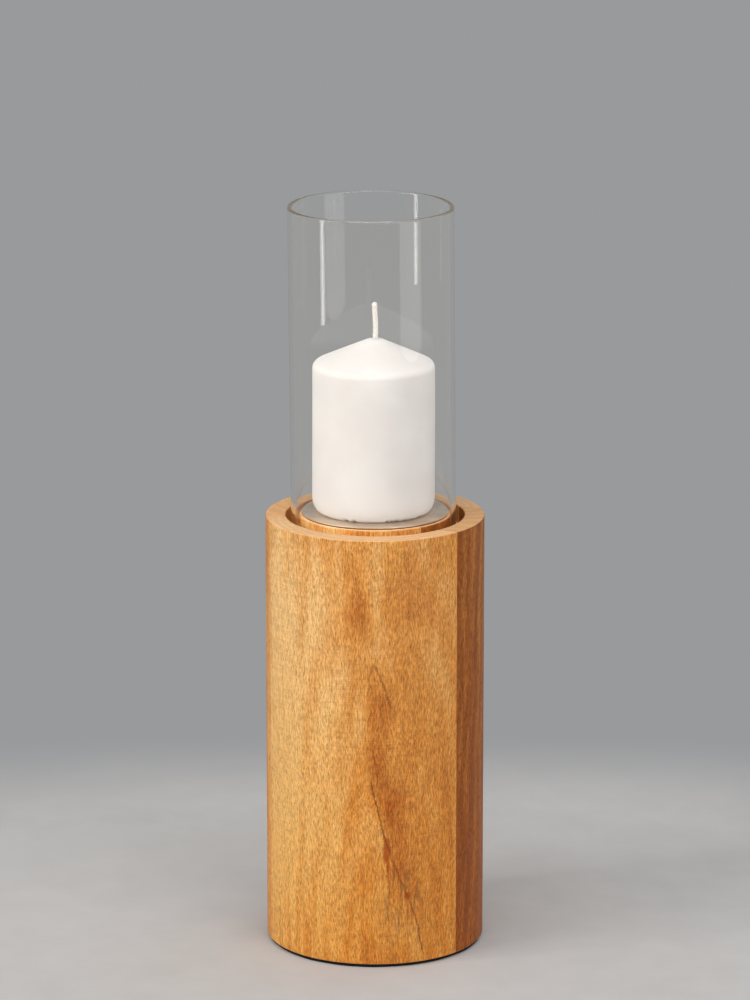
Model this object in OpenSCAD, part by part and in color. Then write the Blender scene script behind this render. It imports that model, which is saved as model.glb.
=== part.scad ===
// Pillar candle hurricane: a turned wooden column with a ring groove in its top,
// an open glass chimney standing in the groove, and a pillar candle on a metal plate.
// Millimetres, +Z up, origin at the centre of the underside of the base pad.

/* [Candle] */
// Diameter of the pillar candle; every diameter below it grows outwards from this one
candle_d = 70; // [50:1:100]
// Height of the wax from the plate to the foot of the bare wick
candle_h = 100; // [60:0.5:150]
// Rise of the cone on top of the wax
candle_cone_h = 11.5; // [6:0.5:20]
// Radius where the candle's side turns into the cone
candle_shoulder_r = 5; // [2:0.5:8]
// Radius around the candle's lower edge
candle_foot_r = 4.5; // [1:0.5:6]
// Thickness of the braided wick
wick_d = 2.8; // [1.5:0.1:4]
// Length of wick that stands out of the wax
wick_out = 21; // [8:1:30]
// Height of wax left under the wick
wick_floor = 4; // [2:0.5:10]

/* [Glass chimney] */
// Length of the glass tube
glass_h = 189; // [150:1:300]
// Wall thickness of the glass
glass_wall = 2.4; // [1.5:0.1:4]
// Air between the candle and the glass
candle_gap = 9.7; // [6:0.1:30]

/* [Wooden column] */
// Height of the wood from its underside to the rim
column_h = 250; // [100:1:400]
// Width of the rim outside the groove
rim_w = 11.5; // [6:0.5:25]
// Depth of the groove below the rim
groove_depth = 10.5; // [5:0.5:20]
// Height of the seat in the middle above the rim
seat_rise = 1.2; // [0:0.1:5]
// Rounding of the turned edges
edge_r = 0.9; // [0.3:0.1:2]

/* [Fits] */
// Gap from the seat out to the bore of the glass
glass_inner_gap = 1.7; // [0.5:0.1:4]
// Gap from the glass out to the rim
glass_outer_gap = 3.9; // [1:0.1:8]
// Gap around the wick where it passes through the wax
wick_gap = 0.05; // [0.02:0.01:0.2]

/* [Glued boards] */
// Thickness of the board in the middle of the glued block
board_t = 55.5; // [35:0.5:75]
// Distance of the front glue joint from the column's axis
front_joint = 24.5; // [15:0.5:32]
// Turn of the glue joints about the column's axis, in degrees
joint_turn = -19; // [-90:1:90]

/* [Plate and pad] */
// Thickness of the metal plate under the candle
plate_t = 0.8; // [0.5:0.1:3]
// Margin from the plate out to the edge of the seat
plate_inset = 1.3; // [0:0.1:5]
// Rounding of the plate's upper edge
plate_edge_r = 0.3; // [0.1:0.05:0.4]
// Thickness of the adhesive disc under the plate
adhesive_t = 0.5; // [0.2:0.1:1]
// Margin from the adhesive disc out to the plate's edge
adhesive_inset = 0.4; // [0.2:0.1:15]
// Thickness of the pad under the column
pad_t = 2; // [1:0.5:5]
// Margin from the pad out to the column's side
pad_inset = 1.2; // [0.5:0.1:10]

/* [Hidden] */

$fn = 128;
// Steps in each rounded corner of a turned outline
arc_steps = 6;

candle_r = candle_d / 2;
glass_bore_r = candle_r + candle_gap;
glass_r = glass_bore_r + glass_wall;
groove_r = glass_r + glass_outer_gap;
column_r = groove_r + rim_w;
seat_r = glass_bore_r - glass_inner_gap;
plate_r = seat_r - plate_inset;

rim_z = pad_t + column_h;
groove_z = rim_z - groove_depth;
seat_z = rim_z + seat_rise;
plate_z = seat_z + adhesive_t;
candle_z = plate_z + plate_t;
wax_top_z = candle_z + candle_h;

wick_r = wick_d / 2;
wick_hole_r = wick_r + wick_gap;

// Points of a round corner about (x, y), from angle a0 to angle a1
function corner(x, y, r, a0, a1) =
    [for (i = [0:arc_steps]) let (a = a0 + (a1 - a0) * i / arc_steps) [x + r * cos(a), y + r * sin(a)]];

// The whole wooden block as it comes off the lathe: column, groove and seat
module turned_block() {
    rotate_extrude()
        polygon(concat(
            [[0, pad_t]],
            corner(column_r - edge_r, pad_t + edge_r, edge_r, -90, 0),
            corner(column_r - edge_r, rim_z - edge_r, edge_r, 0, 90),
            corner(groove_r + edge_r, rim_z - edge_r, edge_r, 90, 180),
            [[groove_r, groove_z], [seat_r, groove_z]],
            corner(seat_r - edge_r, seat_z - edge_r, edge_r, 0, 90),
            [[0, seat_z]]
        ));
}

// The part of the block between two glue planes, y0 in front and y1 behind
module board(y0, y1) {
    intersection() {
        turned_block();
        rotate([0, 0, joint_turn])
            translate([-column_r - 1, y0, 0])
                cube([2 * column_r + 2, y1 - y0, seat_z + 1]);
    }
}

module front_board() {
    color([0.80, 0.58, 0.36]) board(-column_r - 1, -front_joint);
}

module middle_board() {
    color([0.55, 0.34, 0.17]) board(-front_joint, board_t - front_joint);
}

module back_board() {
    color([0.72, 0.50, 0.29]) board(board_t - front_joint, column_r + 1);
}

module base_pad() {
    color([0.06, 0.06, 0.06])
        cylinder(h = pad_t, r = column_r - pad_inset);
}

module plate_adhesive() {
    color([0.12, 0.11, 0.10])
        translate([0, 0, seat_z]) cylinder(h = adhesive_t, r = plate_r - adhesive_inset);
}

// A flat disc with a broken upper edge
module candle_plate() {
    color([0.70, 0.66, 0.61])
        translate([0, 0, plate_z])
            rotate_extrude()
                polygon(concat(
                    [[0, 0], [plate_r, 0]],
                    corner(plate_r - plate_edge_r, plate_t - plate_edge_r, plate_edge_r, 0, 90),
                    [[0, plate_t]]
                ));
}

// A straight tube, open at both ends: ground flat below, rounded over the whole lip above
module glass_chimney() {
    lip_r = glass_wall / 2;
    color([0.85, 0.90, 0.88, 0.4])
        translate([0, 0, groove_z])
            rotate_extrude()
                polygon(concat(
                    [[glass_bore_r, 0], [glass_r, 0]],
                    corner(glass_r - lip_r, glass_h - lip_r, lip_r, 0, 180)
                ));
}

// The wax, with its cone, its rounded edges and the hole that the wick runs in
module candle_wax() {
    shoulder_z = candle_h - candle_cone_h;
    color([0.95, 0.92, 0.86])
        translate([0, 0, candle_z])
            difference() {
                rotate_extrude()
                    polygon(concat(
                        [[0, 0]],
                        corner(candle_r - candle_foot_r, candle_foot_r, candle_foot_r, -90, 0),
                        corner(candle_r - candle_shoulder_r, shoulder_z - candle_shoulder_r,
                               candle_shoulder_r, 0, 65),
                        [[wick_d, candle_h], [0, candle_h]]
                    ));
                translate([0, 0, wick_floor]) cylinder(h = candle_h, r = wick_hole_r);
            }
}

module wick() {
    color([0.96, 0.94, 0.90])
        translate([0, 0, candle_z + wick_floor])
            cylinder(h = candle_h - wick_floor + wick_out, r = wick_r, $fn = 32);
}

front_board();
middle_board();
back_board();
base_pad();
plate_adhesive();
candle_plate();
glass_chimney();
candle_wax();
wick();
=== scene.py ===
# Pillar candle hurricane: looks for a turned wooden column, a glass chimney and a pillar candle.
# Lengths are in metres unless a name says otherwise. -Y is the front, +Z is up.
import math

import bmesh
import bpy
import numpy as np
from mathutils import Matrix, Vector


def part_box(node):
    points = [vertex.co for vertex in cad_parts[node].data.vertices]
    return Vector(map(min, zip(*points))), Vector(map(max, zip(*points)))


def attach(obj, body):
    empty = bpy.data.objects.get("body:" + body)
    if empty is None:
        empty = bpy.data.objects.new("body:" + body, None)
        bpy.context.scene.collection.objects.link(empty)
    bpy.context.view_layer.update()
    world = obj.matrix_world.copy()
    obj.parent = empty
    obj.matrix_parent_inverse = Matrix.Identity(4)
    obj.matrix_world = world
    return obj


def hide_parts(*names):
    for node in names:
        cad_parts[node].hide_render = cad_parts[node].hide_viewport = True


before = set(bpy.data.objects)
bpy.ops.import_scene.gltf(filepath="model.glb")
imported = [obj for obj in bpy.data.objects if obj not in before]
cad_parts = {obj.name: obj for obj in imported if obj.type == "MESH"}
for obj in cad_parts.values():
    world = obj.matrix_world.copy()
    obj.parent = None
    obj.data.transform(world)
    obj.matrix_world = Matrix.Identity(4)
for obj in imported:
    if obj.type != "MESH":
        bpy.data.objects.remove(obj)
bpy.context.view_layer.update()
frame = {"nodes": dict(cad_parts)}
scene = bpy.context.scene
mm = 0.001
columnRadius = 62.5 * mm  # as in the CAD's source
print("frame loaded:", ", ".join(frame["nodes"]))


# Small helpers for materials

def fromScreen(red, green, blue):
    # A colour as it shows on screen, 0 to 255, in the linear values that shaders take:
    # ((c + 0.055) / 1.055) to the power 2.4, or c / 12.92 where c is small
    values = np.array([red, green, blue]) / 255
    linear = np.where(values > 0.04045, ((values + 0.055) / 1.055) ** 2.4, values / 12.92)
    return (*linear.tolist(), 1.0)


def put(tree, kind, inputs=None, **settings):
    # One node: a socket given for an input is linked to it, anything else becomes its value
    node = tree.nodes.new(kind)
    for name, value in settings.items():
        setattr(node, name, value)
    for key, value in (inputs or {}).items():
        if isinstance(value, bpy.types.NodeSocket):
            tree.links.new(value, node.inputs[key])
        else:
            node.inputs[key].default_value = value
    return node


def calc(tree, operation, first, second=0.0, third=0.0, clamp=False):
    return put(tree, "ShaderNodeMath", {0: first, 1: second, 2: third},
               operation=operation, use_clamp=clamp).outputs[0]


def remap(tree, value, low, high, newLow=0.0, newHigh=1.0, smooth=False):
    # Straight or smoothstep change of a value from one range to another, clamped
    return put(tree, "ShaderNodeMapRange",
               {"Value": value, "From Min": low, "From Max": high, "To Min": newLow, "To Max": newHigh},
               interpolation_type="SMOOTHSTEP" if smooth else "LINEAR").outputs[0]


def blendColor(tree, factor, first, second, mode="MIX"):
    node = put(tree, "ShaderNodeMix", {0: factor, 6: first, 7: second}, data_type="RGBA", blend_type=mode)
    return node.outputs[2]


def tint(tree, color, shade):
    return blendColor(tree, 1.0, color, shade, "MULTIPLY")


def gray(tree, value):
    return put(tree, "ShaderNodeCombineColor", {0: value, 1: value, 2: value}).outputs[0]


def axes(tree, vector):
    return put(tree, "ShaderNodeSeparateXYZ", {0: vector}).outputs


def upward(tree):
    # How far the surface faces up: the height part of its normal, in the object's own directions
    return axes(tree, tree.nodes["Texture Coordinate"].outputs["Normal"])["Z"]


def stretch(tree, vector, scale):
    return put(tree, "ShaderNodeMapping", {"Vector": vector, "Scale": scale}).outputs[0]


def noise(tree, vector, scale=1.0, detail=2.0, roughness=0.5, distortion=0.0):
    return put(tree, "ShaderNodeTexNoise",
               {"Vector": vector, "Scale": scale, "Detail": detail, "Roughness": roughness,
                "Distortion": distortion}).outputs[0]


def newGroup(name, inputs, outputs):
    # An empty shader group with named sockets; inputs are (name, kind, start value)
    group = bpy.data.node_groups.new(name, "ShaderNodeTree")
    for label, kind, value in inputs:
        socket = group.interface.new_socket(label, in_out="INPUT", socket_type=kind)
        if value is not None:
            socket.default_value = value
    for label, kind in outputs:
        group.interface.new_socket(label, in_out="OUTPUT", socket_type=kind)
    start = group.nodes.new("NodeGroupInput")
    end = group.nodes.new("NodeGroupOutput")
    return group, start.outputs, lambda label, socket: group.links.new(socket, end.inputs[label])


def useGroup(tree, group, inputs):
    node = tree.nodes.new("ShaderNodeGroup")
    node.node_tree = group
    for label, value in inputs.items():
        if isinstance(value, bpy.types.NodeSocket):
            tree.links.new(value, node.inputs[label])
        else:
            node.inputs[label].default_value = value
    return node.outputs


def newMaterial(name, values):
    # A material with one Principled shader, its constants set on its own sockets
    material = bpy.data.materials.new(name)
    material.use_nodes = True
    tree = material.node_tree
    shader = tree.nodes["Principled BSDF"]
    for label, value in values.items():
        shader.inputs[label].default_value = value
    coords = tree.nodes.new("ShaderNodeTexCoord").outputs["Object"]
    return material, tree, shader, coords


def addBump(tree, shader, height, distance, strength=1.0):
    bump = put(tree, "ShaderNodeBump", {"Height": height, "Distance": distance, "Strength": strength})
    tree.links.new(bump.outputs["Normal"], shader.inputs["Normal"])


# Camera, floor and lights

view = dict(distance=2.877, height=0.999, tiltDegrees=14.41, lens=187.65)

studio = dict(
    floorReach=14.0,
    floorColor=(205, 204, 202),
    floorRoughness=0.85,
    mottleScale=26.0,
    mottleShade=(0.93, 0.93, 0.935, 1),
    farColor=(153, 154, 156),
    fadeStart=0.235,
    fadeEnd=0.40,
    worldColor=(228, 229, 231),
    worldStrength=0.47,
)

# place is (degrees to the right of the front, distance, height of the middle), size is (width, height),
# aim is the height on the axis that the lamp faces. How low a lamp reaches sets where its reflection in the
# upright glass ends.
lamps = [
    dict(name="keyLamp", place=(-60, 1.9, 1.2), size=(1.0, 1.2), power=15.4, aim=0.25,
         color=(255, 252, 249)),
    dict(name="frontFill", place=(34, 2.6, 1.3), size=(1.4, 1.2), power=15, aim=0.2,
         color=(252, 251, 255)),
    dict(name="leftStrip", place=(-70.5, 1.1, 0.676), size=(0.10, 1.1), power=1.6, aim=0.676,
         color=(255, 249, 245)),
    dict(name="rightSoft", place=(56, 1.3, 0.62), size=(0.75, 1.1), power=2.1, aim=0.62,
         color=(255, 251, 248)),
    dict(name="topLamp", place=(-10, 0.9, 1.9), size=(1.1, 1.1), power=9.2, aim=0.25,
         color=(255, 253, 252)),
    dict(name="backSoft", place=(128, 1.3, 1.35), size=(0.9, 0.9), power=2.8, aim=0.27,
         color=(252, 252, 255)),
]


def makeCamera():
    # The camera looks along +Y from in front, tilted down
    camera = bpy.data.objects.new("camera", bpy.data.cameras.new("camera"))
    scene.collection.objects.link(camera)
    camera.data.lens = view["lens"]
    camera.data.clip_end = 60
    camera.location = (0, -view["distance"], view["height"])
    camera.rotation_euler = (math.radians(90 - view["tiltDegrees"]), 0, 0)
    scene.camera = camera


def makeFloor():
    # A flat floor, pale near the object. Away from it the floor turns into an even grey backdrop of its own
    # light for what looks at it straight or through glass. The distance is the fourth root of x^4 + y^4.
    half = studio["floorReach"]
    mesh = bpy.data.meshes.new("floor")
    corners = [(-half, -half, 0), (half, -half, 0), (half, half, 0), (-half, half, 0)]
    mesh.from_pydata(corners, [], [(0, 1, 2, 3)])
    floor = bpy.data.objects.new("floor", mesh)
    scene.collection.objects.link(floor)
    material, tree, shader, coords = newMaterial(
        "floorPaint", {"Roughness": studio["floorRoughness"], "Specular IOR Level": 0.2})
    parts = axes(tree, coords)
    fourths = calc(tree, "ADD", calc(tree, "POWER", calc(tree, "ABSOLUTE", parts["X"]), 4.0),
                   calc(tree, "POWER", calc(tree, "ABSOLUTE", parts["Y"]), 4.0))
    reach = calc(tree, "POWER", fourths, 0.25)
    fade = remap(tree, reach, studio["fadeStart"], studio["fadeEnd"], smooth=True)
    mottle = remap(tree, noise(tree, coords, studio["mottleScale"], 6.0, 0.62), 0.3, 0.7)
    soft = blendColor(tree, mottle, studio["mottleShade"], (1.0, 1.0, 1.0, 1))
    tree.links.new(tint(tree, fromScreen(*studio["floorColor"]), soft), shader.inputs["Base Color"])
    rays = tree.nodes.new("ShaderNodeLightPath").outputs
    seen = calc(tree, "MAXIMUM", rays["Is Camera Ray"],
                calc(tree, "MAXIMUM", rays["Is Glossy Ray"], rays["Is Transmission Ray"]))
    glow = put(tree, "ShaderNodeEmission", {"Color": fromScreen(*studio["farColor"]), "Strength": 1.0})
    mix = put(tree, "ShaderNodeMixShader", {0: calc(tree, "MULTIPLY", fade, seen), 1: shader.outputs[0],
                                            2: glow.outputs[0]})
    tree.links.new(mix.outputs[0], tree.nodes["Material Output"].inputs["Surface"])
    mesh.materials.append(material)


def makeLamp(name, place, size, power, aim, color):
    # An area lamp at (distance * sin a, -distance * cos a, height), turned to a point on the axis
    turn = math.radians(place[0])
    lamp = bpy.data.objects.new(name, bpy.data.lights.new(name, "AREA"))
    scene.collection.objects.link(lamp)
    lamp.data.shape = "RECTANGLE"
    lamp.data.size, lamp.data.size_y = size
    lamp.data.energy = power
    lamp.data.color = fromScreen(*color)[:3]
    lamp.location = (place[1] * math.sin(turn), -place[1] * math.cos(turn), place[2])
    lamp.rotation_euler = (Vector((0, 0, aim)) - lamp.location).to_track_quat("-Z", "Y").to_euler()
    lamp.visible_camera = False


def makeWorld():
    world = bpy.data.worlds.new("studioAir")
    scene.world = world
    world.use_nodes = True
    background = world.node_tree.nodes["Background"]
    background.inputs["Color"].default_value = fromScreen(*studio["worldColor"])
    background.inputs["Strength"].default_value = studio["worldStrength"]


scene.view_settings.view_transform = "Standard"
makeCamera()
makeFloor()
for lamp in lamps:
    makeLamp(**lamp)
makeWorld()
print("camera, floor and", len(lamps), "lamps ready")


# Wood

# How many of each to a metre, across, across and along the trunk, and how far the grain sways, in metres
grainScales = dict(
    drift=(30, 30, 9), sway=(34, 34, 24), bands=(105, 105, 4.2), fine=(1500, 1500, 250), broad=(520, 520, 34),
    cross=(42, 42, 1250), clouds=(30, 30, 13), pores=(1650, 1650, 290), streaks=(520, 520, 60))
swayReach = (0.006, 0.006, 0.0)


def makeGrainGroup():
    # Growth rings are sin(2 pi * distance from the pith / ring width), with the distance pushed about by
    # noise. Bands, fibres, clouds and cross figure are noises, and pores are cells, stretched along or across
    # the trunk. Bands, fibres and pores sway a little to the side.
    group, given, send = newGroup(
        "woodGrain",
        [("Vector", "NodeSocketVector", None), ("Ring Width", "NodeSocketFloat", 0.006),
         ("Wobble", "NodeSocketFloat", 0.006), ("Pores", "NodeSocketFloat", 0.4)],
        [("Rings", "NodeSocketFloat"), ("Bands", "NodeSocketFloat"), ("Fibre", "NodeSocketFloat"),
         ("Pores", "NodeSocketFloat"), ("Cross", "NodeSocketFloat"), ("Clouds", "NodeSocketFloat")])
    place = given["Vector"]
    flat = put(group, "ShaderNodeVectorMath", {0: place, 1: (1, 1, 0)}, operation="MULTIPLY").outputs[0]
    reach = put(group, "ShaderNodeVectorMath", {0: flat}, operation="LENGTH").outputs["Value"]
    slow = noise(group, stretch(group, place, grainScales["drift"]), 1.0, 4.0, 0.6)
    push = calc(group, "MULTIPLY", calc(group, "SUBTRACT", slow, 0.5), given["Wobble"])
    turns = calc(group, "DIVIDE", calc(group, "MULTIPLY_ADD", push, 2.0, reach), given["Ring Width"])
    wave = calc(group, "SINE", calc(group, "MULTIPLY", turns, 2 * math.pi))
    send("Rings", calc(group, "MULTIPLY_ADD", wave, 0.5, 0.5))
    sway = put(group, "ShaderNodeTexNoise",
               {"Vector": stretch(group, place, grainScales["sway"]), "Scale": 1.0, "Detail": 2.0})
    shifted = put(group, "ShaderNodeVectorMath", {0: sway.outputs["Color"], 1: swayReach, 2: place},
                  operation="MULTIPLY_ADD").outputs[0]
    send("Bands", noise(group, stretch(group, shifted, grainScales["bands"]), 1.0, 4.0, 0.62, 0.3))
    fine = noise(group, stretch(group, shifted, grainScales["fine"]), 1.0, 2.0, 0.65)
    broad = noise(group, stretch(group, shifted, grainScales["broad"]), 1.0, 3.0, 0.6)
    send("Fibre", calc(group, "MULTIPLY_ADD", fine, 0.76, calc(group, "MULTIPLY", broad, 0.24)))
    send("Cross", noise(group, stretch(group, place, grainScales["cross"]), 1.0, 3.0, 0.65))
    send("Clouds", noise(group, stretch(group, place, grainScales["clouds"]), 1.0, 4.0, 0.6, 0.3))
    cells = put(group, "ShaderNodeTexVoronoi",
                {"Vector": stretch(group, shifted, grainScales["pores"]), "Scale": 1.0})
    chosen = calc(group, "LESS_THAN", cells.outputs["Color"], given["Pores"])
    middle = remap(group, cells.outputs["Distance"], 0.5, 0.1, smooth=True)
    send("Pores", calc(group, "MULTIPLY", chosen, middle))
    return group


def ovalReach(tree, across, up, wide, tall):
    # Distance from an oval's middle, counted in its own half width and half height
    apart = put(tree, "ShaderNodeCombineXYZ", {0: calc(tree, "DIVIDE", across, wide),
                                               1: calc(tree, "DIVIDE", up, tall)}).outputs[0]
    return put(tree, "ShaderNodeVectorMath", {0: apart}, operation="LENGTH").outputs["Value"]


def makeMarkGroup(marks):
    # How far along the front the surface point lies (column radius * angle from the front) is compared
    # with a line's own course at that height, which a curve node holds; near zero is inside the line.
    # Resin spots, tones and the grey patch are ovals. Lines and spots shiver, the others drift.
    group, given, send = newGroup(
        "woodMarks", [("Vector", "NodeSocketVector", None)],
        [("Lines", "NodeSocketFloat"), ("Resin", "NodeSocketFloat"), ("Grey", "NodeSocketFloat"),
         ("Tone", "NodeSocketFloat")])
    parts = axes(group, given["Vector"])
    angle = calc(group, "ARCTAN2", parts["X"], calc(group, "MULTIPLY", parts["Y"], -1.0))
    across = calc(group, "MULTIPLY", angle, columnRadius / mm)
    height = calc(group, "MULTIPLY", parts["Z"], 1 / mm)
    shiver = calc(group, "MULTIPLY_ADD", noise(group, given["Vector"], 380.0, 4.0, 0.75),
                  marks["shiver"], -marks["shiver"] / 2)
    wandered = calc(group, "ADD", across, shiver)
    courseSpan = 100.0  # millimetres that a curve's height from 0 to 1 stands for
    lines = None
    for line in marks["lines"]:
        low, high = line["course"][0][0], line["course"][-1][0]
        step = put(group, "ShaderNodeFloatCurve", {"Value": remap(group, height, low, high)})
        points = step.mapping.curves[0].points
        while len(points) < len(line["course"]):
            points.new(0.5, 0.5)
        for point, (z, x) in zip(points, line["course"]):
            point.location = ((z - low) / (high - low), 0.5 + x / courseSpan)
            point.handle_type = "VECTOR"
        step.mapping.update()
        course = calc(group, "MULTIPLY_ADD", step.outputs[0], courseSpan, -courseSpan / 2)
        gap = calc(group, "ABSOLUTE", calc(group, "SUBTRACT", wandered, course))
        inside = remap(group, gap, line["width"], line["width"] * 0.25, smooth=True)
        ends = calc(group, "MULTIPLY", remap(group, height, low, low + line["fade"]),
                    remap(group, height, high, high - line["fade"]))
        mark = calc(group, "MULTIPLY", calc(group, "MULTIPLY", inside, ends), line["strength"])
        lines = mark if lines is None else calc(group, "MAXIMUM", lines, mark)
    send("Lines", lines)
    resin = None
    for x, z, wide, tall in marks["resin"]:
        reach = ovalReach(group, calc(group, "SUBTRACT", wandered, x), calc(group, "SUBTRACT", height, z),
                          wide, tall)
        spot = remap(group, reach, 1.1, 0.75, smooth=True)
        resin = spot if resin is None else calc(group, "MAXIMUM", resin, spot)
    send("Resin", resin)
    drift = calc(group, "MULTIPLY_ADD", noise(group, given["Vector"], 55.0, 3.0, 0.6),
                 marks["drift"], -marks["drift"] / 2)
    drifted = calc(group, "ADD", across, drift)
    tone = None
    for x, z, wide, tall, slant, strength in marks["tones"]:
        rise = calc(group, "SUBTRACT", height, z)
        aside = calc(group, "MULTIPLY_ADD", rise, -slant, calc(group, "SUBTRACT", drifted, x))
        reach = ovalReach(group, aside, rise, wide, tall)
        patch = calc(group, "MULTIPLY", remap(group, reach, 1.25, 0.1, smooth=True), strength)
        tone = patch if tone is None else calc(group, "ADD", tone, patch)
    send("Tone", tone)
    x, z, wide, tall = marks["grey"]
    reach = ovalReach(group, calc(group, "SUBTRACT", drifted, x), calc(group, "SUBTRACT", height, z),
                      wide, tall)
    streaks = noise(group, stretch(group, given["Vector"], grainScales["streaks"]), 1.0, 4.0, 0.65)
    send("Grey", calc(group, "MULTIPLY", remap(group, reach, 1.0, 0.2, smooth=True),
                      remap(group, streaks, 0.46, 0.64, smooth=True)))
    return group


grainGroup = makeGrainGroup()

# Lengths here are in millimetres. A course is (height, place across the front), from low to high, width is
# how far the line reaches to each side of it, and fade how far it thins out at its ends. Resin spots and the
# grey patch are (across, height, half width, half height). A tone is a patch that is lighter or darker:
# (across, height, half width, half height, slant, strength). shiver and drift are how far the marks stray.
frontMarks = dict(
    shiver=3.4,
    drift=16.0,
    lines=[
        dict(course=[(66, 9.5), (76, 6), (84, 4), (97, 1), (106, -1.6), (115, -2.6)],
             width=0.62, strength=0.95, fade=5),
        dict(course=[(41, 19), (47, 17.2), (52, 14.6), (58, 12.4), (66, 9)],
             width=0.95, strength=0.62, fade=2),
        dict(course=[(4, 29.6), (14, 26.6), (24, 25.2), (33, 22.4), (42, 19)],
             width=0.75, strength=0.85, fade=5),
        dict(course=[(22, 8.8), (34, 7.2), (47, 8.2), (62, 7)],
             width=0.8, strength=0.55, fade=8),
        dict(course=[(154, 9.2), (160, 7.2), (168, 4.6), (175, 1.8), (180, -0.2)],
             width=1.1, strength=0.62, fade=2),
        dict(course=[(168, -4.2), (174, -2.8), (179, -1.2), (180.5, -0.2)],
             width=0.95, strength=0.5, fade=3),
        dict(course=[(111, 1.6), (120, 0.4), (127, -0.8), (134, -0.4)],
             width=0.6, strength=0.4, fade=4),
        dict(course=[(126, -1.0), (131, -0.4), (135, 1.0), (135.5, 2.0)],
             width=0.6, strength=0.3, fade=2),
    ],
    resin=[(6.8, 70.5, 2.3, 8.4), (7.6, 60.0, 0.9, 3.6), (18.9, 42.5, 1.8, 2.5), (8.0, 98.0, 1.0, 2.0)],
    grey=(18, 36, 20, 44),
    colors={"Grey": (122, 88, 54), "Resin": (174, 82, 18), "Lines": (122, 60, 18)},
    tones=[
        (3.5, 146, 9, 34, 0.0, -0.38), (17, 114, 9, 32, 0.0, -0.22), (11, 84, 10, 56, -0.28, -0.42),
        (3, 222, 5, 34, 0.0, 0.20), (-10, 216, 8, 40, 0.0, -0.22), (24, 214, 15, 38, 0.0, -0.10),
        (36, 70, 16, 90, -0.1, -0.12), (-42, 130, 26, 170, 0.0, 0.40), (36, 160, 12, 60, 0.0, 0.05),
        (-54.5, 126, 2.5, 150, 0.0, 0.34), (-68, 126, 18, 190, 0.0, 0.62), (-20, 90, 18, 90, 0.0, 0.16),
    ],
)

# pith is where the middle of the tree lay, lean is how it leaned, seed slides the grain along the trunk, the
# colours go from dark to light, and the last value is how much paler the board is on its left: partly its own
# tone and partly painted light on its lit left side and the left of the groove
boards = dict(
    frontBoard=dict(
        colors=[(188, 104, 34), (232, 158, 75), (255, 205, 134)], endColor=(254, 208, 158),
        poreColor=(120, 64, 20), pith=(0.004, -0.030, 0.0), lean=(0.075, 0.012, 0.0), ringWidth=0.0042,
        wobble=0.0052, pores=0.52, poreStrength=0.52, seed=0.0, marks=frontMarks,
        leftPaleAndLight=0.0),
    middleBoard=dict(
        colors=[(112, 55, 10), (163, 90, 26), (212, 140, 64)], endColor=(255, 203, 142),
        poreColor=(70, 34, 12), pith=(0.045, 0.03, 0.0), lean=(0.05, -0.02, 0.0), ringWidth=0.0082,
        wobble=0.012, pores=0.55, poreStrength=0.56, seed=0.31, marks=None,
        leftPaleAndLight=0.42),
    backBoard=dict(
        colors=[(186, 114, 48), (222, 156, 82), (244, 194, 126)], endColor=(242, 200, 152),
        poreColor=(118, 64, 24), pith=(-0.01, 0.02, 0.0), lean=(-0.06, 0.01, 0.0), ringWidth=0.0046,
        wobble=0.0055, pores=0.52, poreStrength=0.44, seed=0.57, marks=None,
        leftPaleAndLight=0.0),
)

# Shared by the three boards. Shares are how much each pattern adds to the tone, ranges run from where a
# change starts to where it is complete, shades multiply a colour, and depths are shares of reliefHeight.
woodLook = dict(
    specular=0.28,
    roughness=(0.44, 0.58),
    ringShare=0.12,
    bandShare=0.50,
    cloudShare=0.30,
    fibreShare=0.50,
    toneRange=(0.36, 1.06),
    middleStop=0.48,
    # painted light: the range across which the board turns paler towards its left, partly its own tone
    leftPaleAndLightRange=(0.05, -0.06),
    fibreShade=(0.70, 1.20),
    crossStrength=0.17,
    # the next two paint the foot deeper in colour: painted light for the floor's bounce and less sheen low
    # down
    paintedFootRange=(0.21, 0.03),
    paintedFootTint=(0.96, 0.83, 0.52, 1),
    endRange=(0.45, 0.85),
    endSpeckScale=1300.0,
    endSpeckShade=(0.90, 1.05),
    endRingShade=(0.93, 1.03),
    endFigure=0.36,
    markCover={"Grey": 0.50, "Resin": 0.88, "Lines": 0.82},
    resinGloss=-0.2,
    poreDepth=-0.8,
    fibreDepth=0.5,
    crossDepth=0.15,
    lineDepth=-1.6,
    reliefHeight=0.18 * mm,
    reliefStrength=0.55,
)


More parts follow.
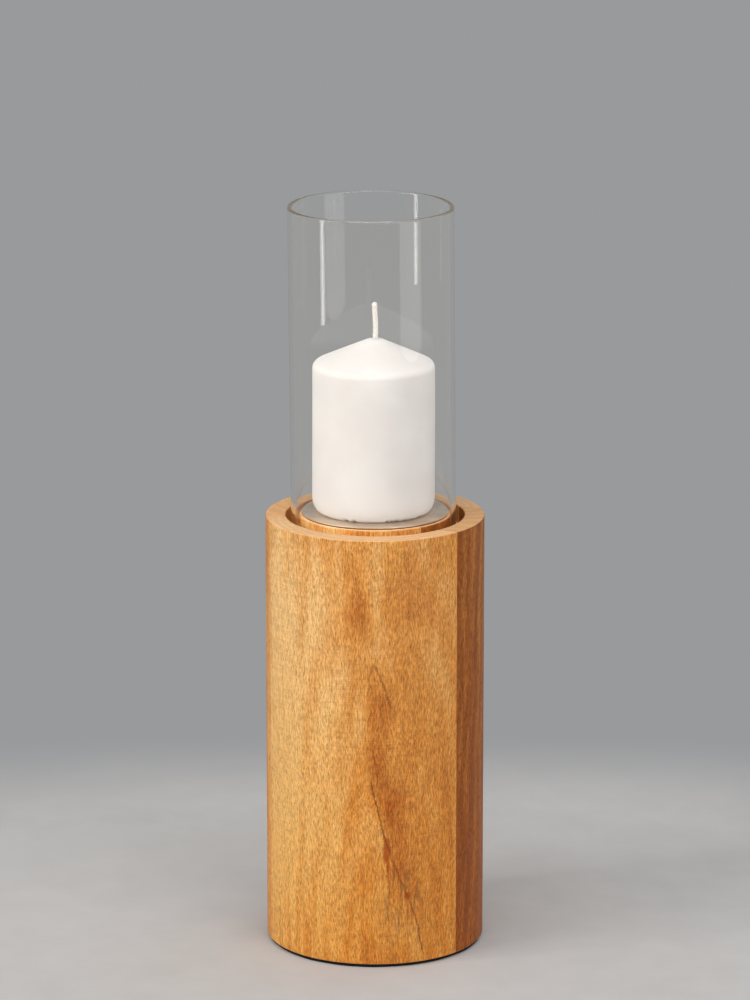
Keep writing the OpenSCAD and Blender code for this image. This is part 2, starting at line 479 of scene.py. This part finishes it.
def makeWood(name, look):
    # Tone is a weighted sum of slow bands, clouds, fibres and rings, and picks a colour between the board's
    # dark and light ones. Fibres then shade it, cross figure and pores darken it, and the foot gets a painted
    # tint, deeper in colour, that stands in for floor bounce and less sheen low down. End grain, where the
    # surface faces up or down, is paler and speckled. Marks lie over it all.
    material, tree, shader, coords = newMaterial(name, {"Specular IOR Level": woodLook["specular"]})
    placed = put(tree, "ShaderNodeMapping",
                 {"Vector": coords, "Location": [-a for a in look["pith"][:2]] + [look["seed"]],
                  "Rotation": look["lean"]}).outputs[0]
    grain = useGroup(tree, grainGroup, {"Vector": placed, "Ring Width": look["ringWidth"],
                                        "Wobble": look["wobble"], "Pores": look["pores"]})
    marks = useGroup(tree, makeMarkGroup(look["marks"]), {"Vector": coords}) if look["marks"] else None
    poreColor = fromScreen(*look["poreColor"])

    mixed = calc(tree, "MULTIPLY", grain["Clouds"], woodLook["cloudShare"])
    mixed = calc(tree, "MULTIPLY_ADD", grain["Bands"], woodLook["bandShare"], mixed)
    mixed = calc(tree, "MULTIPLY_ADD", grain["Rings"], woodLook["ringShare"], mixed)
    mixed = calc(tree, "MULTIPLY_ADD", grain["Fibre"], woodLook["fibreShare"], mixed)
    tone = remap(tree, mixed, *woodLook["toneRange"])
    if marks:
        tone = calc(tree, "ADD", tone, marks["Tone"], clamp=True)
    # The left of the board is paler: partly its own tone, partly painted light on its lit left side and the
    # left of the groove
    leftPaleAndLit = remap(tree, axes(tree, coords)["X"], *woodLook["leftPaleAndLightRange"], 0.0, look["leftPaleAndLight"])
    tone = calc(tree, "ADD", tone, leftPaleAndLit, clamp=True)
    ramp = put(tree, "ShaderNodeValToRGB", {0: tone})
    stops = ramp.color_ramp.elements
    stops.new(woodLook["middleStop"])
    for stop, color in zip(stops, look["colors"]):
        stop.color = fromScreen(*color)
    color = ramp.outputs["Color"]

    fibreShade = remap(tree, grain["Fibre"], 0.36, 0.64, *woodLook["fibreShade"])
    color = tint(tree, color, gray(tree, fibreShade))
    crossing = calc(tree, "MULTIPLY", remap(tree, grain["Cross"], 0.48, 0.62),
                    remap(tree, grain["Clouds"], 0.38, 0.62))
    color = blendColor(tree, calc(tree, "MULTIPLY", crossing, woodLook["crossStrength"]), color, poreColor)
    color = blendColor(tree, calc(tree, "MULTIPLY", grain["Pores"], look["poreStrength"]), color, poreColor)
    # Painted light: the foot is tinted deeper, standing in for floor bounce and less sheen low down
    paintedFootBand = remap(tree, axes(tree, coords)["Z"], *woodLook["paintedFootRange"])
    color = blendColor(tree, paintedFootBand, color, tint(tree, color, woodLook["paintedFootTint"]))

    endGrain = remap(tree, calc(tree, "ABSOLUTE", upward(tree)), *woodLook["endRange"], smooth=True)
    speckNoise = noise(tree, coords, woodLook["endSpeckScale"], 2.0, 0.7)
    specks = remap(tree, speckNoise, 0.38, 0.62, *woodLook["endSpeckShade"])
    ends = tint(tree, fromScreen(*look["endColor"]), gray(tree, specks))
    ringShade = remap(tree, grain["Rings"], 0.0, 1.0, *woodLook["endRingShade"])
    ends = tint(tree, ends, gray(tree, ringShade))
    ends = blendColor(tree, woodLook["endFigure"], ends, color)
    color = blendColor(tree, endGrain, color, ends)

    height = calc(tree, "MULTIPLY", grain["Cross"], woodLook["crossDepth"])
    height = calc(tree, "MULTIPLY_ADD", grain["Fibre"], woodLook["fibreDepth"], height)
    height = calc(tree, "MULTIPLY_ADD", grain["Pores"], woodLook["poreDepth"], height)
    rough = remap(tree, grain["Bands"], 0.3, 0.7, *woodLook["roughness"])
    if marks:
        for label, markColor in look["marks"]["colors"].items():
            cover = calc(tree, "MULTIPLY", marks[label], woodLook["markCover"][label])
            color = blendColor(tree, cover, color, fromScreen(*markColor))
        height = calc(tree, "MULTIPLY_ADD", marks["Lines"], woodLook["lineDepth"], height)
        rough = calc(tree, "MULTIPLY_ADD", marks["Resin"], woodLook["resinGloss"], rough)
    tree.links.new(color, shader.inputs["Base Color"])
    tree.links.new(rough, shader.inputs["Roughness"])
    addBump(tree, shader, height, woodLook["reliefHeight"], woodLook["reliefStrength"])
    return material


woods = {name: makeWood(name, look) for name, look in boards.items()}
print("wood ready")


# Glass, wax, metal, cotton and foam

# frost is roughness. trapped is the light that a ray finds at exactly trappedDepth bounces: it stands for
# light that has run down inside the wall, which shows as an olive brown in the lip.
glassLook = dict(
    color=(0.988, 0.986, 0.968, 1),
    ior=1.5,
    shadowColor=(0.945, 0.95, 0.94, 1),
    footFrost=0.4,
    lipFrost=0.28,
    rippleScale=(40, 40, 6),
    rippleHeight=0.4 * mm,
    rippleStrength=0.05,
    trappedColor=(118, 108, 86),
    trappedDepth=6.0,
)


def makeGlass():
    # Clear glass, its ground foot and its lip a little frosted. Lamps' shadow rays pass it, so what stands
    # inside is lit.
    material, tree, shader, coords = newMaterial(
        "chimneyGlass", {"Base Color": glassLook["color"], "Roughness": 0.0, "Metallic": 0.0,
                         "Transmission Weight": 1.0, "IOR": glassLook["ior"]})
    rays = tree.nodes.new("ShaderNodeLightPath").outputs
    clear = put(tree, "ShaderNodeBsdfTransparent", {"Color": glassLook["shadowColor"]})
    mix = put(tree, "ShaderNodeMixShader", {0: rays["Is Shadow Ray"], 1: shader.outputs[0],
                                            2: clear.outputs[0]})
    facing = upward(tree)
    foot = remap(tree, facing, -0.25, -0.8, 0.0, glassLook["footFrost"])
    lip = remap(tree, facing, 0.1, 0.7, 0.0, glassLook["lipFrost"])
    tree.links.new(calc(tree, "ADD", foot, lip), shader.inputs["Roughness"])
    ripple = noise(tree, stretch(tree, coords, glassLook["rippleScale"]), 1.0, 1.0, 0.4)
    addBump(tree, shader, ripple, glassLook["rippleHeight"], glassLook["rippleStrength"])
    trapped = calc(tree, "COMPARE", rays["Ray Depth"], glassLook["trappedDepth"], 0.5)
    glow = blendColor(tree, trapped, (0, 0, 0, 1), fromScreen(*glassLook["trappedColor"]))
    tree.links.new(glow, shader.inputs["Emission Color"])
    shader.inputs["Emission Strength"].default_value = 1.0
    tree.links.new(mix.outputs[0], tree.nodes["Material Output"].inputs["Surface"])
    return material


waxLook = dict(
    dark=(230, 225, 223),
    light=(236, 232, 230),
    speckColor=(206, 184, 158),
    speckShare=0.018,
    speckStrength=0.6,
    roughness=(0.48, 0.60),
    specular=0.16,
    ior=1.43,
    scatter=0.6,
    scatterDepth=8 * mm,
    scatterColor=(1.0, 0.85, 0.70),
    dimpleHeight=0.3 * mm,
    dimpleStrength=0.35,
)


def makeWax():
    # Ivory white wax: faint cloudy colour, fine pits and a soft gloss, with light passing a little way in
    material, tree, shader, coords = newMaterial(
        "candleWax", {"Subsurface Weight": waxLook["scatter"], "Subsurface Scale": waxLook["scatterDepth"],
                      "Subsurface Radius": waxLook["scatterColor"], "IOR": waxLook["ior"],
                      "Specular IOR Level": waxLook["specular"]})
    clouds = remap(tree, noise(tree, coords, 38.0, 4.0, 0.6), 0.35, 0.65)
    color = blendColor(tree, clouds, fromScreen(*waxLook["dark"]), fromScreen(*waxLook["light"]))
    specks = put(tree, "ShaderNodeTexVoronoi", {"Vector": coords, "Scale": 300.0}).outputs
    rare = calc(tree, "LESS_THAN", specks["Color"], waxLook["speckShare"])
    dots = calc(tree, "MULTIPLY", rare, remap(tree, specks["Distance"], 0.32, 0.15, smooth=True))
    color = blendColor(tree, calc(tree, "MULTIPLY", dots, waxLook["speckStrength"]), color,
                       fromScreen(*waxLook["speckColor"]))
    tree.links.new(color, shader.inputs["Base Color"])
    tree.links.new(remap(tree, clouds, 0.0, 1.0, *waxLook["roughness"]), shader.inputs["Roughness"])
    dimples = calc(tree, "MULTIPLY_ADD", noise(tree, coords, 900.0, 2.0, 0.5), 0.25,
                   noise(tree, coords, 130.0, 3.0, 0.5))
    addBump(tree, shader, dimples, waxLook["dimpleHeight"], waxLook["dimpleStrength"])
    return material


steelLook = dict(
    dark=(204, 186, 168),
    light=(229, 214, 197),
    scratchColor=(226, 214, 198),
    scratchShare=0.05,
    scratchStrength=0.5,
    brushScale=(60, 2600, 1),
    scratchScale=(95, 1500, 1),
    scratchTurn=0.7,
    roughness=0.34,
    brushRoughness=0.16,
    reliefHeight=0.05 * mm,
    reliefStrength=0.6,
)


def makeSteel():
    # Satin disc: warm grey, brushed one way by a stretched noise, with a few short scratches
    material, tree, shader, coords = newMaterial("seatSteel", {"Metallic": 1.0})
    brushed = noise(tree, stretch(tree, coords, steelLook["brushScale"]), 1.0, 3.0, 0.6)
    stain = noise(tree, coords, 55.0, 4.0, 0.6)
    turned = put(tree, "ShaderNodeMapping", {"Vector": coords, "Rotation": (0, 0, steelLook["scratchTurn"]),
                                             "Scale": steelLook["scratchScale"]}).outputs[0]
    scratches = put(tree, "ShaderNodeTexVoronoi", {"Vector": turned, "Scale": 1.0}).outputs
    few = calc(tree, "MULTIPLY", calc(tree, "LESS_THAN", scratches["Color"], steelLook["scratchShare"]),
               remap(tree, scratches["Distance"], 0.4, 0.15))
    color = blendColor(tree, remap(tree, stain, 0.35, 0.65), fromScreen(*steelLook["dark"]),
                       fromScreen(*steelLook["light"]))
    color = blendColor(tree, calc(tree, "MULTIPLY", few, steelLook["scratchStrength"]), color,
                       fromScreen(*steelLook["scratchColor"]))
    tree.links.new(color, shader.inputs["Base Color"])
    rough = calc(tree, "MULTIPLY_ADD", brushed, steelLook["brushRoughness"], steelLook["roughness"])
    tree.links.new(rough, shader.inputs["Roughness"])
    height = calc(tree, "MULTIPLY_ADD", few, -0.6, brushed)
    addBump(tree, shader, height, steelLook["reliefHeight"], steelLook["reliefStrength"])
    return material


cottonLook = dict(
    dark=(232, 222, 210),
    light=(250, 247, 242),
    threadScale=(5200, 5200, 900),
    roughness=(0.85, 0.6),
    scatter=0.2,
    scatterDepth=1 * mm,
    reliefHeight=0.15 * mm,
    reliefStrength=0.6,
)


def makeCotton():
    # Twisted cotton: fine threads run up the wick as a stretched noise, and a little wax lets light in
    material, tree, shader, coords = newMaterial(
        "wickCotton", {"Subsurface Weight": cottonLook["scatter"],
                       "Subsurface Scale": cottonLook["scatterDepth"]})
    threads = noise(tree, stretch(tree, coords, cottonLook["threadScale"]), 1.0, 2.0, 0.6)
    color = blendColor(tree, threads, fromScreen(*cottonLook["dark"]), fromScreen(*cottonLook["light"]))
    tree.links.new(color, shader.inputs["Base Color"])
    tree.links.new(remap(tree, threads, 0.0, 1.0, *cottonLook["roughness"]), shader.inputs["Roughness"])
    addBump(tree, shader, threads, cottonLook["reliefHeight"], cottonLook["reliefStrength"])
    return material


foamLooks = dict(
    padFoam=dict(dark=(14, 13, 13), light=(34, 32, 31), cellScale=1600.0),
    # the tape's dark colour is partly its own and partly painted shade for the thin gap under the plate
    tapeFoamGapShade=dict(dark=(20, 17, 15), light=(40, 35, 31), cellScale=2200.0),
)


def makeFoam(name, dark, light, cellScale):
    # Matt black sheet with a fine closed-cell speckle
    material, tree, shader, coords = newMaterial(name, {"Specular IOR Level": 0.25})
    cells = noise(tree, coords, cellScale, 3.0, 0.7)
    color = blendColor(tree, remap(tree, cells, 0.35, 0.7), fromScreen(*dark), fromScreen(*light))
    tree.links.new(color, shader.inputs["Base Color"])
    tree.links.new(remap(tree, cells, 0.0, 1.0, 0.95, 0.8), shader.inputs["Roughness"])
    addBump(tree, shader, cells, 0.2 * mm, 0.6)
    return material


glass = makeGlass()
wax = makeWax()
steel = makeSteel()
cotton = makeCotton()
padFoam, tapeFoamGapShade = (makeFoam(name, **look) for name, look in foamLooks.items())
print("other materials ready")


# Mesh tools

def gridFaces(rows, columns, closedRows=False, closedColumns=False, start=0):
    # Quads of a grid whose vertex number is start + row * columns + column
    row = np.arange(rows if closedRows else rows - 1)[:, None]
    column = np.arange(columns if closedColumns else columns - 1)[None, :]
    nextRow, nextColumn = (row + 1) % rows, (column + 1) % columns
    corners = [row * columns + column, nextRow * columns + column,
               nextRow * columns + nextColumn, row * columns + nextColumn]
    quads = np.stack([np.broadcast_to(c, (row.size, column.size)) for c in corners], -1)
    return (start + quads).reshape(-1, 4).tolist()


def makePiece(name, points, faces, material, sharpDegrees=38):
    # A closed piece: doubles merged, faces turned outwards, smooth except across sharp edges
    mesh = bpy.data.meshes.new(name)
    mesh.from_pydata(np.asarray(points).reshape(-1, 3).tolist(), [], faces)
    bm = bmesh.new()
    bm.from_mesh(mesh)
    bmesh.ops.remove_doubles(bm, verts=bm.verts, dist=2e-6)
    bmesh.ops.recalc_face_normals(bm, faces=bm.faces)
    bm.to_mesh(mesh)
    bm.free()
    mesh.polygons.foreach_set("use_smooth", np.ones(len(mesh.polygons), dtype=bool))
    mesh.set_sharp_from_angle(angle=math.radians(sharpDegrees))
    mesh.materials.append(material)
    piece = bpy.data.objects.new(name, mesh)
    scene.collection.objects.link(piece)
    return piece


def corner(x, z, radius, start, end, steps=8):
    # Points on a round corner: centre + radius * (cos a, sin a), a from start to end in degrees
    angle = np.radians(np.linspace(start, end, steps))
    return np.stack([x + radius * np.cos(angle), z + radius * np.sin(angle)], 1)


def span(first, last, steps):
    # Points spread evenly on a straight stretch, both ends left out
    share = np.linspace(0, 1, steps + 2)[1:-1, None]
    return np.array(first) + share * (np.array(last) - np.array(first))


def spun(profile, steps):
    # A profile of (radius, height) turned about Z: (r cos a, r sin a, z)
    angle = np.linspace(0, 2 * math.pi, steps, endpoint=False)[None, :]
    r, z = profile[:, 0][:, None], profile[:, 1][:, None]
    return np.stack([r * np.cos(angle), r * np.sin(angle), np.broadcast_to(z, (len(profile), steps))], -1)


def settle(piece, body, node):
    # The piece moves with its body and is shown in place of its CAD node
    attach(piece, body)
    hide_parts(node)


# Sizes read from the frame

middleBox, padBox, plateBox = (np.array(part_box(n)) for n in ("middle_board", "base_pad", "candle_plate"))
glassBox, waxBox, wickBox = (np.array(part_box(n)) for n in ("glass_chimney", "candle_wax", "wick"))

# The three glued boards of the column

# Radius, widths and joints repeat the CAD's source. jointTurn is in degrees.
column = dict(
    radius=columnRadius,
    rimWidth=11.5 * mm,
    seatRadius=43.0 * mm,
    seatRise=1.2 * mm,
    edge=0.9 * mm,
    innerRound=0.4 * mm,
    frontJoint=24.5 * mm,
    boardThickness=55.5 * mm,
    jointTurn=-19.0,
    jointGroove=0.10 * mm,
    jointReach=0.35 * mm,
    unevenness=0.035 * mm,
    arcSteps=150,
)
columnFoot = float(padBox[1, 2])
seatTop = float(middleBox[1, 2])
rimTop = seatTop - column["seatRise"]
grooveFloor = float(glassBox[0, 2])


def columnProfile():
    # The turned outline from the underside's edge, up the side, over the rim, through the groove to the seat
    radius, edge = column["radius"], column["edge"]
    grooveRadius, seat = radius - column["rimWidth"], column["seatRadius"]
    inner = column["innerRound"]
    return np.concatenate([
        corner(radius - edge, columnFoot + edge, edge, -90, 0),
        span((radius, columnFoot + edge), (radius, rimTop - edge), 60),
        corner(radius - edge, rimTop - edge, edge, 0, 90),
        span((radius - edge, rimTop), (grooveRadius + edge, rimTop), 5),
        corner(grooveRadius + edge, rimTop - edge, edge, 90, 180),
        span((grooveRadius, rimTop - edge), (grooveRadius, grooveFloor + inner), 6),
        corner(grooveRadius - inner, grooveFloor + inner, inner, 0, -90, 5),
        span((grooveRadius - inner, grooveFloor), (seat + inner, grooveFloor), 4),
        corner(seat + inner, grooveFloor + inner, inner, -90, -180, 5),
        span((seat, grooveFloor + inner), (seat, seatTop - edge), 6),
        corner(seat - edge, seatTop - edge, edge, 0, 90),
    ])


def boardArc(profile, start, end, seed):
    # For each point of the outline, an arc from angle start to angle end: (r cos a, r sin a, z), turned to
    # the joints' direction. Near a joint r is less by jointGroove * e to the power -(distance /
    # jointReach)^2, and on the side by a product of two sines, so that it is a little uneven.
    share = 0.5 - 0.5 * np.cos(np.linspace(0, math.pi, column["arcSteps"]))
    share = 0.5 * share + 0.5 * np.linspace(0, 1, column["arcSteps"])
    r, z = profile[:, 0][:, None], profile[:, 1][:, None]
    angle = start[:, None] + (end - start)[:, None] * share[None, :]
    toJoint = np.minimum(angle - start[:, None], end[:, None] - angle) * r
    ease = column["jointGroove"] * np.exp(-((toJoint / column["jointReach"]) ** 2))
    world = angle + math.radians(column["jointTurn"])
    uneven = column["unevenness"] * (np.sin(5 * world + 60 * z + seed) * np.sin(3 * world - 41 * z) - 1)
    outside = r > column["radius"] - 0.5 * column["rimWidth"]
    radius = r - ease + np.where(outside, uneven, 0.0)
    return np.stack([radius * np.cos(world), radius * np.sin(world), np.broadcast_to(z, radius.shape)], -1)


def makeBoard(name, node, arcs, joints, material):
    # Arcs are grids of the turned surface; each joint is one flat face between two arcs' ends, and two
    # more flat faces close the seat above and the foot below.
    rows, columns = arcs[0].shape[:2]
    faces, size = [], rows * columns
    for index in range(len(arcs)):
        faces += gridFaces(rows, columns, start=index * size)
    side = np.arange(rows) * columns
    ends = {(index, where): index * size + side + (columns - 1 if where == "last" else 0)
            for index in range(len(arcs)) for where in ("first", "last")}
    for one, other in joints:
        faces.append(ends[one].tolist() + ends[other][::-1].tolist())
    for row in (0, rows - 1):
        loop = [index * size + row * columns + np.arange(columns) for index in range(len(arcs))]
        faces.append(np.concatenate(loop).tolist())
    piece = makePiece(name, np.concatenate([a.reshape(-1, 3) for a in arcs]), faces, material)
    settle(piece, "base", node)


profile = columnProfile()
frontAngle = np.arcsin(column["frontJoint"] / profile[:, 0])
backAngle = np.arcsin((column["boardThickness"] - column["frontJoint"]) / profile[:, 0])
makeBoard("frontBoard", "front_board",
          [boardArc(profile, math.pi + frontAngle, 2 * math.pi - frontAngle, 0.4)],
          [((0, "first"), (0, "last"))], woods["frontBoard"])
makeBoard("middleBoard", "middle_board",
          [boardArc(profile, -frontAngle, backAngle, 1.7),
           boardArc(profile, math.pi - backAngle, math.pi + frontAngle, 2.9)],
          [((0, "first"), (1, "last")), ((0, "last"), (1, "first"))], woods["middleBoard"])
makeBoard("backBoard", "back_board",
          [boardArc(profile, backAngle, math.pi - backAngle, 4.2)],
          [((0, "first"), (0, "last"))], woods["backBoard"])
print("boards ready")

# Pad, plate and the adhesive disc under it

pad = dict(edge=0.45 * mm, steps=256, ripple=0.25 * mm)
plate = dict(edge=0.32 * mm, steps=256)


def makePad():
    # A disc with a rounded edge, spun about Z, whose radius wavers: radius + ripple * (a sum of sines - 1.5)
    radius, top = padBox[1, 0], padBox[1, 2]
    edge = pad["edge"]
    outline = np.concatenate([
        [[0, 0]], span((0, 0), (radius - edge, 0), 6),
        corner(radius - edge, edge, edge, -90, 0, 5), corner(radius - edge, top - edge, edge, 0, 90, 5),
        span((radius - edge, top), (0, top), 6), [[0, top]]])
    points = spun(outline, pad["steps"])
    angle = np.linspace(0, 2 * math.pi, pad["steps"], endpoint=False)
    waver = pad["ripple"] * (np.sin(7 * angle + 1.0) * np.sin(3 * angle) + 0.5 * np.sin(19 * angle) - 1.5)
    reach = outline[:, 0][:, None] / radius
    points[..., :2] *= (1 + waver[None, :] * reach / radius)[..., None]
    piece = makePiece("basePad", points, gridFaces(len(outline), pad["steps"], closedColumns=True), padFoam)
    settle(piece, "base", "base_pad")


def makePlate():
    # A flat disc with its upper and lower edges rounded, turned about Z
    radius, low, high = plateBox[1, 0], plateBox[0, 2], plateBox[1, 2]
    edge = plate["edge"]
    outline = np.concatenate([
        [[0, low]], span((0, low), (radius - edge, low), 4),
        corner(radius - edge, low + edge, edge, -90, 0, 6),
        corner(radius - edge, high - edge, edge, 0, 90, 6),
        span((radius - edge, high), (0, high), 12), [[0, high]]])
    piece = makePiece("seatPlate", spun(outline, plate["steps"]),
                      gridFaces(len(outline), plate["steps"], closedColumns=True), steel)
    settle(piece, "base", "candle_plate")


makePad()
makePlate()
# The tape's black is partly its own colour and partly painted shade for the thin gap under the plate
adhesive = bpy.data.objects["plate_adhesive"]
adhesive.data.materials.clear()
adhesive.data.materials.append(tapeFoamGapShade)
print("pad and plate ready")

# Glass chimney

chimney = dict(
    wall=2.4 * mm,
    footBevel=0.35 * mm,
    shift=-0.8 * mm,
    lean=-0.0085,
    lift=0.05 * mm,
    bendRow=0.04 * mm,
    steps=256,
)


def makeChimney():
    # A tube profile, ground flat below and melted round above, turned about Z, then slid sideways by
    # lean * height, since the foot stands off-centre in its groove and the tube is cut a little out of
    # square. A row lies close beside each bend, so that the walls shade as straight.
    radius, low, high = glassBox[1, 0], glassBox[0, 2] + chimney["lift"], glassBox[1, 2]
    wall, bevel = chimney["wall"], chimney["footBevel"]
    lip, near = wall / 2, chimney["bendRow"]
    outline = np.concatenate([
        [[radius - wall + bevel + near, low], [radius - bevel - near, low], [radius - bevel, low]],
        [[radius, low + bevel], [radius, low + bevel + near]],
        span((radius, low + bevel), (radius, high - lip), 40), [[radius, high - lip - near]],
        corner(radius - lip, high - lip, lip, 0, 180, 17), [[radius - wall, high - lip - near]],
        span((radius - wall, high - lip), (radius - wall, low + bevel), 40),
        [[radius - wall, low + bevel + near], [radius - wall, low + bevel], [radius - wall + bevel, low]]])
    points = spun(outline, chimney["steps"])
    points[..., 0] += chimney["shift"] + chimney["lean"] * (points[..., 2] - low)
    piece = makePiece("glassChimney", points,
                      gridFaces(len(outline), chimney["steps"], closedRows=True, closedColumns=True), glass)
    settle(piece, "chimney", "glass_chimney")


makeChimney()
print("chimney ready")

# Candle

candle = dict(
    radius=35 * mm,
    shift=-0.8 * mm,
    shoulder=4.4 * mm,
    slopeDegrees=24.0,
    topRadius=4.8 * mm,
    topDrop=0.75 * mm,
    footTuck=4.6 * mm,
    footRise=9.0 * mm,
    tipShift=0.9 * mm,
    collar=1.3 * mm,
    collarRise=0.45 * mm,
    holeDepth=6 * mm,
    unevenness=0.10 * mm,
    steps=320,
    chips=64,
    chipDepth=2.6 * mm,
    chipHeight=2.2 * mm,
    chipLift=1.0 * mm,
    seed=11,
)
wick = dict(
    radius=1.4 * mm,
    strand=0.92 * mm,
    orbit=0.62 * mm,
    pitch=8.5 * mm,
    lean=-0.1 * mm,
    bow=0.25 * mm,
    back=-0.3 * mm,
    depth=5 * mm,
    tipTaper=1.3 * mm,
    footTaper=0.8 * mm,
    swell=0.16,
    rings=150,
    sides=14,
)


def makeWaxBody():
    # Outline: foot curve (a quarter of an ellipse), side, round shoulder, straight cone, a crown that levels
    # off as a sine, a collar up the wick and the wick's hole. It is turned about Z, then the side is made a
    # little uneven by slow sines, the foot is nicked by narrow bumps in angle, and the cone is slid aside by
    # tipShift * (share of its height) to the power 1.5.
    radius, low, high = candle["radius"], waxBox[0, 2], waxBox[1, 2]
    slope, shoulder = math.radians(candle["slopeDegrees"]), candle["shoulder"]
    coneEnd = np.array([candle["topRadius"], high - candle["topDrop"]])
    flankFoot = radius - shoulder + shoulder * math.sin(slope)
    coneFoot = coneEnd[1] - math.tan(slope) * (flankFoot - coneEnd[0]) - shoulder * math.cos(slope)
    quarter = np.radians(np.linspace(-90, 0, 14))
    foot = np.stack([radius - candle["footTuck"] + candle["footTuck"] * np.cos(quarter),
                     low + candle["footRise"] + candle["footRise"] * np.sin(quarter)], 1)
    rounded = corner(radius - shoulder, coneFoot, shoulder, 0, 90 - candle["slopeDegrees"], 12)
    hole, holeFloor = wick["radius"] * 0.97, high - candle["holeDepth"]
    collarFoot = np.array([hole + candle["collar"], high - candle["collarRise"]])
    share = np.linspace(0, 1, 7)[1:, None]
    crown = coneEnd + (collarFoot - coneEnd) * np.concatenate([share, np.sin(share * math.pi / 2)], 1)
    rise = collarFoot + (np.array([hole, high]) - collarFoot) * np.concatenate([share, share ** 2.2], 1)
    outline = np.concatenate([
        [[0, low]], span((0, low), (radius - candle["footTuck"], low), 5), foot,
        span(foot[-1], rounded[0], 40), rounded, span(rounded[-1], coneEnd, 16), [coneEnd], crown, rise,
        span((hole, high), (hole, holeFloor), 3), [[hole, holeFloor], [0, holeFloor]]])
    points = spun(outline, candle["steps"])
    angle = np.linspace(0, 2 * math.pi, candle["steps"], endpoint=False)[None, :]
    z, r = points[..., 2], outline[:, 0][:, None]
    outside = np.clip((r / radius - 0.5) * 2, 0, 1)
    waves = np.sin(2 * angle + 31 * z) + 0.6 * np.sin(5 * angle - 57 * z + 1) - 1.6
    uneven = candle["unevenness"] * waves * outside
    draw = np.random.default_rng(candle["seed"])
    centres = draw.uniform(0, 2 * math.pi, candle["chips"])
    widths = draw.uniform(0.010, 0.032, candle["chips"])
    depths = draw.uniform(0.15, 1.0, candle["chips"]) ** 1.4
    apart = (angle[..., None] - centres + math.pi) % (2 * math.pi) - math.pi
    nick = (depths * np.exp(-((apart / widths) ** 2))).max(-1)
    footEdge = np.clip(1 - (z - low) / candle["chipHeight"], 0, 1) * np.clip((r / radius - 0.78) * 12, 0, 1)
    grow = uneven - candle["chipDepth"] * nick * footEdge
    points[..., :2] *= (1 + grow / np.maximum(r, 0.1 * mm))[..., None]
    points[..., 2] += candle["chipLift"] * nick * footEdge
    climb = np.clip((z - coneFoot) / (high - coneFoot), 0, 1)
    points[..., 0] += candle["shift"] + candle["tipShift"] * climb ** 1.5
    piece = makePiece("candleWaxBody", points,
                      gridFaces(len(outline), candle["steps"], closedColumns=True), wax, 60)
    settle(piece, "candle", "candle_wax")


def makeWick():
    # Three strands wind about a leaning, bowed line: centre + orbit * (cos t, sin t), t = 2 pi * height /
    # pitch + a third of a turn each. Every strand is a tube, thickest near its tip, whose ends close to a
    # point.
    low, high = float(waxBox[1, 2]) - wick["depth"], float(wickBox[1, 2])
    z = np.linspace(low, high, wick["rings"])[:, None]
    out = np.clip((z - waxBox[1, 2]) / (high - waxBox[1, 2]), 0, 1)
    bow = wick["bow"] * np.sin(math.pi * out * 1.6)
    axisX = candle["shift"] + candle["tipShift"] + wick["lean"] * out + bow
    axisY = wick["back"] * out ** 2
    nearEnd = np.clip((high - z) / wick["tipTaper"], 0, 1)
    nearFoot = np.clip((z - low) / wick["footTaper"], 0, 1)
    swell = 1 + wick["swell"] * np.exp(-(((out - 0.93) / 0.05) ** 2))
    width = wick["strand"] * np.sqrt(nearEnd * (2 - nearEnd)) * nearFoot * swell
    orbit = wick["orbit"] * np.sqrt(np.maximum(nearEnd, 0.0))
    around = np.linspace(0, 2 * math.pi, wick["sides"], endpoint=False)[None, :]
    points, faces = [], []
    for strand in range(3):
        turn = 2 * math.pi * (z - low) / wick["pitch"] + strand * 2 * math.pi / 3
        x = axisX + orbit * np.cos(turn) + width * np.cos(around)
        y = axisY + orbit * np.sin(turn) + width * np.sin(around)
        points.append(np.stack([x, y, np.broadcast_to(z, x.shape)], -1).reshape(-1, 3))
        faces += gridFaces(wick["rings"], wick["sides"], closedColumns=True, start=strand * x.size)
    piece = makePiece("wickBraid", np.concatenate(points), faces, cotton, 80)
    settle(piece, "candle", "wick")


makeWaxBody()
makeWick()
print("candle ready")
